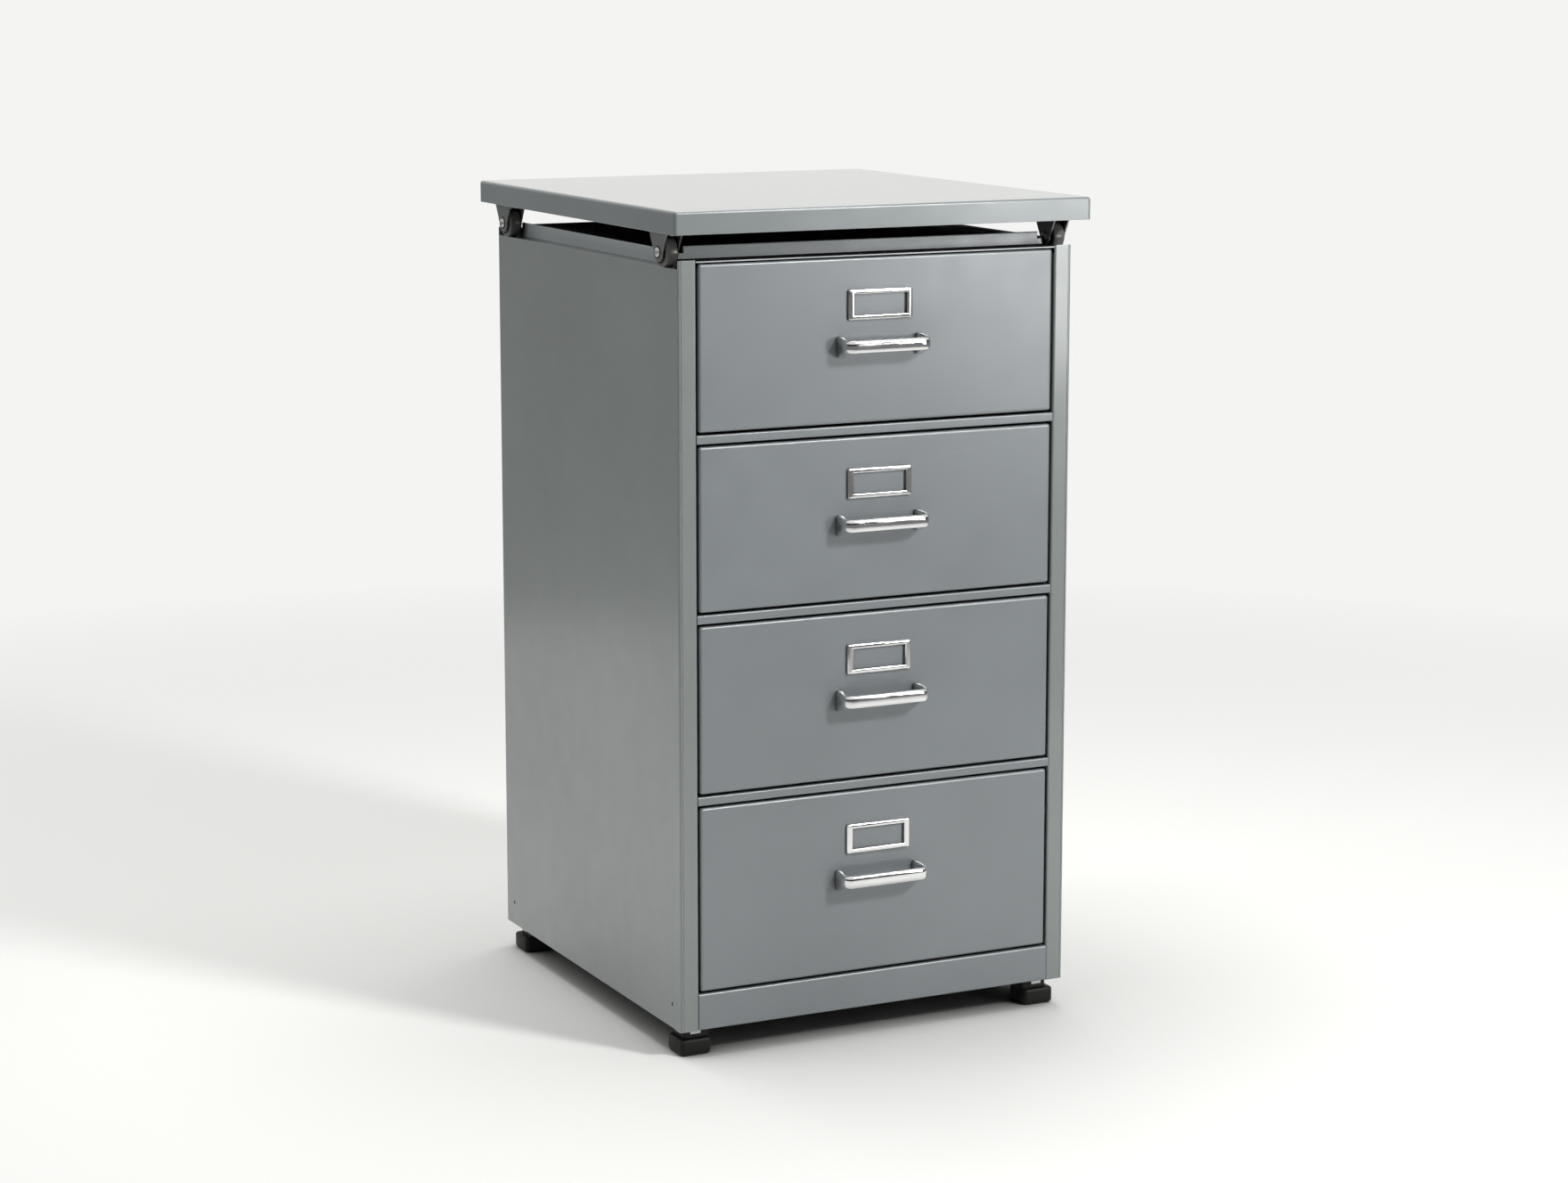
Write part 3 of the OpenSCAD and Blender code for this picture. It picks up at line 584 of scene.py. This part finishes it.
def handle_grid(low, high):
    """Points of a bow handle as a section carried along the bow.

    The middle line runs along the bar, round a corner and out to the middle of the foot; each half is
    a straight line and two cubic curves (1-t)^3 a + 3(1-t)^2 t b + 3(1-t) t^2 c + t^3 d. Across it,
    the section is |n/w|^e + |z/h|^e = 1, where w, h and e grow from the bar to the foot.
    """
    size = bpy.context.scene.cabinet_handles
    half_w = (high[0] - low[0]) / 2
    reach = high[1] - low[1]
    bar_t = size.bar_thickness / MM / 2
    bar_h = size.bar_height / MM / 2
    foot_w = size.foot_width / MM / 2
    foot_h = (high[2] - low[2]) / 2
    bar_y = bar_t - reach
    foot_x = half_w - foot_w - size.foot_inset / MM
    # the leg's middle line stands this far inside the handle's end
    leg_in = 6.5
    bar_x = half_w - leg_in
    # the corner starts this far along the bar before the leg and ends this far down the leg
    corner_along, corner_down = 7.2, 7.0
    bar_points, corner_points, leg_points, around = 9, 14, 22, 40
    # where each growth from bar to foot starts and how long it takes, as shares of the leg
    wide_start, wide_length = 0.35, 0.63
    tall_start, tall_length = 0.12, 0.86
    square_start, square_length = 0.3, 0.6
    # the section's exponent at the bar and what the foot adds to it
    bar_power, foot_power = 2.5, 2.3

    def cubic(a, b, c, d, count):
        t = np.linspace(0, 1, count + 1)[1:, None]
        a, b, c, d = (np.array(p, float) for p in (a, b, c, d))
        return (1 - t) ** 3 * a + 3 * (1 - t) ** 2 * t * b + 3 * (1 - t) * t * t * c + t**3 * d

    bend = (bar_x - corner_along, bar_y)
    leg = (bar_x, bar_y + corner_down)
    half = np.vstack(
        [
            np.stack([np.linspace(0, bend[0], bar_points), np.full(bar_points, bar_y)], -1),
            cubic(bend, (bar_x - 3.4, bar_y), (bar_x - 0.4, bar_y + 2.6), leg, corner_points),
            cubic(leg, (bar_x + 0.3, bar_y + 11.0), (foot_x, -6.5), (foot_x, 0.0), leg_points),
        ]
    )
    path = np.vstack([half[:0:-1] * (-1, 1), half])
    run = np.gradient(path, axis=0)
    run /= np.linalg.norm(run, axis=1)[:, None]
    out = np.stack([run[:, 1], -run[:, 0]], -1)
    # 0 at the bar and 1 at the foot
    near = (path[:, 1] - bar_y) / -bar_y
    taller = ease((near - tall_start) / tall_length)
    wide = bar_t + (foot_w - bar_t) * ease((near - wide_start) / wide_length)
    tall = bar_h + (foot_h - bar_h) * taller
    power = bar_power + foot_power * ease((near - square_start) / square_length)
    t = np.linspace(0, 2 * np.pi, around, endpoint=False)
    c, s = np.cos(t), np.sin(t)
    across = wide[:, None] * np.sign(c) * np.abs(c) ** (2 / power[:, None])
    up = tall[:, None] * np.sign(s) * np.abs(s) ** (2 / power[:, None])
    grid = np.empty((len(path), len(t), 3))
    grid[..., :2] = path[:, None] + out[:, None] * across[..., None]
    grid[..., 2] = up + size.bar_rise / MM * (1 - taller[:, None])
    grid[..., 0] = np.clip(grid[..., 0], -half_w, half_w)
    grid[..., 1] = np.clip(grid[..., 1], -reach, 0)
    return grid + ((low[0] + high[0]) / 2, high[1], (low[2] + high[2]) / 2)


class CABINET_OT_handles(bpy.types.Operator):
    """Adds a chrome bow handle to each drawer"""

    bl_idname = "cabinet.handles"
    bl_label = "Bow Handles"

    def execute(self, context):
        for k in DRAWERS:
            node = f"drawer_{k}_handle"
            low, high, _ = node_box(node)
            part = skin(handle_grid(low, high), capped=True)
            make_piece(f"bow_handle_{k}", [part], bright_chrome(), f"drawer_{k}", [node])
            dress([node, f"drawer_{k}_handle_screws"], zinc_plated())
        return {"FINISHED"}


class CABINET_OT_label_holders(bpy.types.Operator):
    """Adds a chrome label holder, a small frame with rounded edges, to each drawer"""

    bl_idname = "cabinet.label_holders"
    bl_label = "Label Holders"

    def execute(self, context):
        reach = context.scene.cabinet_handles.frame_height / MM
        # (distance in from the outer edge, height over the drawer) round the section of the frame
        section = np.array(
            [
                (0.0, 0.02), (0.0, 2.1), (0.12, 2.55), (0.42, 2.98), (0.86, 3.28), (1.36, 3.42),
                (2.6, 3.6), (3.9, 3.6), (4.3, 3.5), (4.62, 3.28), (4.86, 2.92), (4.97, 2.5),
                (5.0, 2.1), (5.0, 1.1), (3.2, 1.1), (3.2, 0.02),
            ]
        )
        section_height = 3.6
        # the side borders are wider than the top and bottom ones
        side_border, level_border = 1.25, 0.96
        corner_radius, least_radius = 1.8, 0.3
        for k in DRAWERS:
            node = f"drawer_{k}_label_holder"
            low, high, middle = node_box(node)
            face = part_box(f"drawer_{k}_front")[0].y / MM
            inset, height = section[:, 0], section[:, 1] * reach / section_height
            half_x, half_z = (high[0] - low[0]) / 2, (high[2] - low[2]) / 2
            rings = rounded_rings(
                half_x - inset * side_border,
                half_z - inset * level_border,
                np.maximum(corner_radius - inset, least_radius),
            )
            grid = np.stack([rings[..., 0], 0 * rings[..., 0] - height[:, None], rings[..., 1]], -1)
            part = skin(grid + (middle[0], face, middle[2]), closed_rows=True)
            make_piece(
                f"label_holder_{k}", [part], bright_chrome(), f"drawer_{k}", [node], sharp=40
            )
        return {"FINISHED"}


class CABINET_OT_feet(bpy.types.Operator):
    """Adds the moulded black feet"""

    bl_idname = "cabinet.feet"
    bl_label = "Feet"

    def execute(self, context):
        black = moulded_plastic(
            "moulded_black_polyamide", "#080807", "#24221F", roughness=0.5, shine=0.25
        )
        for corner in CORNERS:
            node = "foot_" + corner
            _, high, middle = node_box(node)
            out_x = 1.0 if "right" in corner else -1.0
            out_y = 1.0 if "rear" in corner else -1.0
            top = high[2]
            # height, half width, corner radius, and how far the ring moves in from the two outer sides
            rings = np.array(
                [
                    (0.0, 12.6, 3.4, 0), (0.25, 13.9, 3.6, 0), (0.9, 15.2, 3.8, 0),
                    (2.0, 16.1, 4.0, 0), (3.4, 16.45, 4.0, 0), (5.0, 16.5, 4.0, 0),
                    (14.2, 16.5, 4.0, 0), (15.4, 16.3, 3.9, 0), (16.3, 15.8, 3.7, 0),
                    (16.8, 15.2, 3.4, 0.2), (17.1, 14.2, 2.8, 2.0), (17.4, 13.6, 2.4, 2.8),
                    (18.4, 13.5, 2.0, 3), (top, 13.5, 2.0, 3),
                ]
            )
            outline = rounded_rings(rings[:, 1], rings[:, 1], rings[:, 2])
            grid = np.empty((*outline.shape[:2], 3))
            grid[..., 0] = middle[0] + outline[..., 0] - out_x * rings[:, 3:]
            grid[..., 1] = middle[1] + outline[..., 1] - out_y * rings[:, 3:]
            grid[..., 2] = rings[:, :1]
            part = skin(grid, capped=True)
            make_piece("moulded_" + node, [part], black, "cabinet", [node])
        dress(["foot_plates", "foot_screws"], zinc_plated())
        return {"FINISHED"}


def wheel_profile(r, w):
    """Closed profile of a wheel of radius r and half width w: bore, hub, sunk web, rim and tread."""
    half = [
        (3.05, w), (5.2, w), (5.5, w - 0.25), (5.8, w - 1.3), (r - 4.4, w - 1.5), (r - 3.7, w - 1.2),
        (r - 3.3, w - 0.15), (r - 3.0, w), (r - 1.5, w), (r - 0.7, w - 0.2), (r - 0.2, w - 0.7),
        (r, w - 1.5),
    ]
    return np.array(half + [(radius, -along) for radius, along in reversed(half)])


def bolt_outlines(reach):
    """Profiles of shaft, washer, head and nut, as (radius, distance) points.

    Each comes with its segments, its place along the axle, 1 or -1 for the end of the axle that it
    points to, and 1 where it is black or 0 where it is zinc.
    """
    shaft = [(0.02, -reach - 0.7), (3.0, -reach - 0.7), (3.0, reach + 1.0), (0.02, reach + 1.0)]
    washer = [(3.05, 0.5), (5.9, 0.5), (6.3, 0.35), (6.3, 0.0), (3.05, 0.0)]
    head = [
        (0.02, 2.5), (1.0, 2.46), (2.4, 2.15), (3.6, 1.55), (4.5, 0.8), (4.8, 0.3), (4.8, 0.0),
        (0.02, 0.0),
    ]
    nut = [(0.03, 0.0), (5.0, 0.0), (5.0, 1.1), (4.3, 1.6), (0.03, 1.6)]
    return (
        (shaft, 40, 0, 1, 0),
        (washer, 40, reach, 1, 1),
        (head, 40, reach + 0.5, 1, 0),
        (nut, 6, -reach, -1, 0),
    )


class CABINET_OT_castors(bpy.types.Operator):
    """Adds the castor wheels and their axle bolts and finishes the forks"""

    bl_idname = "cabinet.castors"
    bl_label = "Castors"

    def execute(self, context):
        tread = moulded_plastic(
            "dark_rubber_tread", "#4A4A48", "#74736F", roughness=0.30, grain_mm=0.9
        )
        core = moulded_plastic("moulded_black_wheel", "#131312", "#33322F", roughness=0.42)
        # the rows of the wheel's skin that are tread, counted from each end of the profile
        wheel_segments, tread_first, tread_last = 64, 6, 8
        bolts, dark = [], []
        for corner in CORNERS:
            node = "castor_wheel_" + corner
            low, high, middle = node_box(node)
            side = 1.0 if "right" in corner else -1.0
            profile = wheel_profile((high[2] - low[2]) / 2, (high[0] - low[0]) / 2)
            points, faces = lathe(profile, wheel_segments)
            ring = np.arange(len(faces)) // wheel_segments
            shares = ((ring >= tread_first) & (ring < len(profile) - tread_last)).astype(np.int32)
            make_piece(
                "wheel_" + corner,
                [(points + middle, faces)],
                core,
                "wheel_" + corner,
                [node],
                more=(tread,),
                shares=shares,
            )
            low, high, fork = node_box("castor_fork_" + corner)
            middle = np.array((fork[0], middle[1], middle[2]))
            for outline, segments, place, way, black in bolt_outlines((high[0] - low[0]) / 2):
                points, faces = lathe(outline, segments)
                points[:, 0] = points[:, 0] * side * way + place * side
                if side * way < 0:
                    faces = [face[::-1] for face in faces]
                bolts.append((points + middle, faces))
                dark.append(np.full(len(faces), black, np.int32))
        make_piece(
            "axle_bolts",
            bolts,
            zinc_plated(),
            "top",
            ["castor_axles"],
            more=(core,),
            shares=np.concatenate(dark),
        )
        dress(["castor_screws"], zinc_plated())
        dull_zinc = zinc_plated("dull_zinc_plated_steel", "#7F8382", "#979B9A", roughness=0.36)
        dress(["castor_fork_" + corner for corner in CORNERS], dull_zinc)
        return {"FINISHED"}


class CABINET_OT_body(bpy.types.Operator):
    """Gives the cabinet's sheets, rails and runners their finish"""

    bl_idname = "cabinet.body"
    bl_label = "Body Finish"

    def execute(self, context):
        side = stoved_enamel("sides", sheen=0.44, polish=1.0, polish_rough=0.13)
        dress(["left_side_panel", "right_side_panel", "back_panel", "bottom_pan"], side)
        # the cap's enamel is painted lighter to stand in for light that the strip under the top misses
        cap = stoved_enamel("cap", sheen=0.36, polish=0.4, polish_rough=0.17, level=0.15)
        dress(["cap_panel"], cap)
        # a rail lies under each drawer but the last
        dress(["base_rail"] + [f"front_rail_{k}" for k in DRAWERS[:-1]], front_enamel())
        dress([f"runner_pair_{k}" for k in DRAWERS], zinc_plated())
        dress(["runner_glides"], moulded_nylon())
        return {"FINISHED"}


class CABINET_OT_drawers(bpy.types.Operator):
    """Gives the drawer fronts, boxes and slides their finish"""

    bl_idname = "cabinet.drawers"
    bl_label = "Drawer Finish"

    def execute(self, context):
        inside = stoved_enamel("boxes", sheen=0.5)
        for k in DRAWERS:
            dress([f"drawer_{k}_front"], front_enamel())
            dress([f"drawer_{k}_box"], inside)
            dress([f"drawer_{k}_slide_pair"], zinc_plated())
            dress([f"drawer_{k}_glides"], moulded_nylon())
        return {"FINISHED"}


class CABINET_OT_top(bpy.types.Operator):
    """Gives the folded top its finish"""

    bl_idname = "cabinet.top"
    bl_label = "Top Finish"

    def execute(self, context):
        top = stoved_enamel(
            "top", sheen=0.38, polish=0.4, polish_rough=0.17, wiped=1.0, level=0.15
        )
        dress(["top_plate"], top)
        return {"FINISHED"}


class CABINET_OT_stage(bpy.types.Operator):
    """Adds the camera, a pale floor and soft studio light"""

    bl_idname = "cabinet.stage"
    bl_label = "Studio"

    def execute(self, context):
        scene = context.scene
        stage = scene.cabinet_stage
        self.camera(scene)
        self.floor(scene)
        for name, turn, rise, away, width, height, share, mirrored in LAMPS:
            turn, rise = math.radians(turn), math.radians(rise)
            way = Vector(
                (math.sin(turn) * math.cos(rise), -math.cos(turn) * math.cos(rise), math.sin(rise))
            )
            light = bpy.data.lights.new(name, "AREA")
            light.shape = "RECTANGLE"
            light.size, light.size_y, light.energy = width, height, stage.key_power * share
            lamp = bpy.data.objects.new(name, light)
            lamp.location = Vector(LAMP_AIM) + away * way
            lamp.rotation_euler = way.to_track_quat("Z", "Y").to_euler()
            lamp.visible_glossy = mirrored
            scene.collection.objects.link(lamp)
        self.surroundings(scene, stage.ambient)
        return {"FINISHED"}

    def camera(self, scene):
        """The camera, at CAMERA_PLACE_MM, turned right by the yaw and down by the pitch."""
        camera = bpy.data.objects.new("camera", bpy.data.cameras.new("camera"))
        scene.collection.objects.link(camera)
        yaw, pitch = CAMERA_YAW, CAMERA_PITCH
        ahead = Vector(
            (math.sin(yaw) * math.cos(pitch), math.cos(yaw) * math.cos(pitch), -math.sin(pitch))
        )
        camera.location = Vector(CAMERA_PLACE_MM) * MM
        camera.rotation_euler = ahead.to_track_quat("-Z", "Y").to_euler()
        camera.data.sensor_width = SENSOR_MM
        camera.data.lens = SENSOR_MM * FOCAL_PX / FRAME_WIDTH_PX
        camera.data.shift_y = CAMERA_SHIFT_Y
        camera.data.clip_end = CAMERA_FAR
        scene.camera = camera
        scene.view_settings.view_transform = "Standard"

    def floor(self, scene):
        """A flat round floor of pale paper."""
        floor_mesh = bpy.data.meshes.new("floor")
        turn = np.arange(FLOOR_SIDES) * 2 * np.pi / FLOOR_SIDES
        ring = np.stack([FLOOR_RADIUS * np.cos(turn), FLOOR_RADIUS * np.sin(turn), 0 * turn], -1)
        floor_mesh.from_pydata(ring.tolist(), [], [list(range(FLOOR_SIDES))])
        floor = bpy.data.objects.new("floor", floor_mesh)
        scene.collection.objects.link(floor)
        floor_mesh.materials.append(self.paper())

    def paper(self):
        """Pale matt paper, lit near the cabinet and even further out, with a painted reflection and a
        painted shadow; distances in metres.
        """
        material, tree = blank("pale_studio_paper")
        rays = add(tree, "ShaderNodeLightPath").outputs
        away = add(tree, "ShaderNodeVectorMath", operation="LENGTH", links={0: place_on(tree)})
        away = away.outputs["Value"]
        seen = combine(tree, "MAXIMUM", rays["Is Camera Ray"], rays["Is Glossy Ray"])
        even = span(tree, away, 0.7, 2.4, 0.0, 1.0)
        share = combine(tree, "MULTIPLY", seen, even)
        lit = add(tree, "ShaderNodeBsdfDiffuse", {"Color": linear("#EDEDEA")})
        # painted reflection: for reflected rays the paper glows brightly only at the left, out to two
        # metres, and more dimly elsewhere
        across = axis_of(tree, place_on(tree), "X")
        bright = combine(
            tree,
            "MULTIPLY",
            span(tree, across, -0.7, -0.2, 0.85, 0.2),
            span(tree, away, 1.9, 2.5, 1.0, 0.2),
        )
        duller = span(tree, away, 0.8, 3.0, 0.5, 0.22)
        bright = combine(tree, "MAXIMUM", bright, duller)
        strength = combine(tree, "MAXIMUM", bright, rays["Is Camera Ray"])
        glow = add(tree, "ShaderNodeEmission", {"Color": linear(BACKDROP)}, {"Strength": strength})
        paper = mixed_shader(tree, share, lit, glow)
        # painted shadow: the dark of the recesses under and beside the cabinet is for the camera alone, so
        # that reflections stay clean
        shaded = in_recesses(tree, paper, reach=0.10, darkest=0.05, open_from=0.6, samples=16)
        close(tree, mixed_shader(tree, rays["Is Camera Ray"], paper, shaded))
        return material

    def surroundings(self, scene, ambient):
        """White behind and above, darker in front near eye level, as in a studio seen from the cabinet."""
        world = bpy.data.worlds.new("studio")
        world.use_nodes = True
        scene.world = world
        tree = world.node_tree
        tree.nodes.clear()
        way = add(tree, "ShaderNodeTexCoord").outputs["Generated"]
        way = add(tree, "ShaderNodeSeparateXYZ", links={0: way}).outputs
        # what polished faces see
        behind = span(tree, way["Y"], -0.15, 0.25, 0, 1)
        right = span(tree, way["X"], -0.25, 0.2, 0.55, 1)
        behind = combine(tree, "MULTIPLY", behind, right)
        overhead = span(tree, way["Z"], 0.13, 0.30, 0, 1)
        bright = combine(tree, "MAXIMUM", behind, overhead)
        glossy = blend_colour(tree, bright, "#161615", "#F1F1EE")
        rays = add(tree, "ShaderNodeLightPath").outputs
        # what lights the faces: strongest from the left and from behind
        left = span(tree, way["X"], -0.3, 0.3, ambient, ambient * 0.1)
        back = span(tree, way["Y"], -0.5, 0.2, 0.15, 1)
        even = combine(tree, "MULTIPLY", left, back)
        seen = blend_colour(tree, rays["Is Glossy Ray"], even, glossy)
        seen = blend_colour(tree, rays["Is Camera Ray"], seen, BACKDROP)
        background = add(tree, "ShaderNodeBackground", links={"Color": seen})
        add(tree, "ShaderNodeOutputWorld", links={"Surface": background.outputs[0]})


class CABINET_PT_panel(bpy.types.Panel):
    """Lists the steps that finish the cabinet"""

    bl_idname = "CABINET_PT_panel"
    bl_label = "Drawer Cabinet"
    bl_space_type = "VIEW_3D"
    bl_region_type = "UI"
    bl_category = "Cabinet"

    def draw(self, context):
        scene = context.scene
        for group in (scene.cabinet_handles, scene.cabinet_finish, scene.cabinet_stage):
            box = self.layout.box()
            for name in group.__annotations__:
                box.prop(group, name)
        for operator in STEPS:
            self.layout.operator(operator.bl_idname)


GROUPS = {
    "cabinet_handles": CabinetHandleSettings,
    "cabinet_finish": CabinetFinishSettings,
    "cabinet_stage": CabinetStageSettings,
}
STEPS = (
    CABINET_OT_handles,
    CABINET_OT_label_holders,
    CABINET_OT_feet,
    CABINET_OT_castors,
    CABINET_OT_body,
    CABINET_OT_drawers,
    CABINET_OT_top,
    CABINET_OT_stage,
)


def register():
    for cls in (*GROUPS.values(), *STEPS, CABINET_PT_panel):
        bpy.utils.register_class(cls)
    for name, group in GROUPS.items():
        setattr(bpy.types.Scene, name, PointerProperty(type=group))


def unregister():
    for name in GROUPS:
        delattr(bpy.types.Scene, name)
    for cls in reversed((*GROUPS.values(), *STEPS, CABINET_PT_panel)):
        bpy.utils.unregister_class(cls)


def main():
    """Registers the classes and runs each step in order."""
    register()
    bpy.ops.cabinet.handles()
    bpy.ops.cabinet.label_holders()
    bpy.ops.cabinet.feet()
    bpy.ops.cabinet.castors()
    bpy.ops.cabinet.body()
    bpy.ops.cabinet.drawers()
    bpy.ops.cabinet.top()
    bpy.ops.cabinet.stage()


if __name__ == "__main__":
    main()
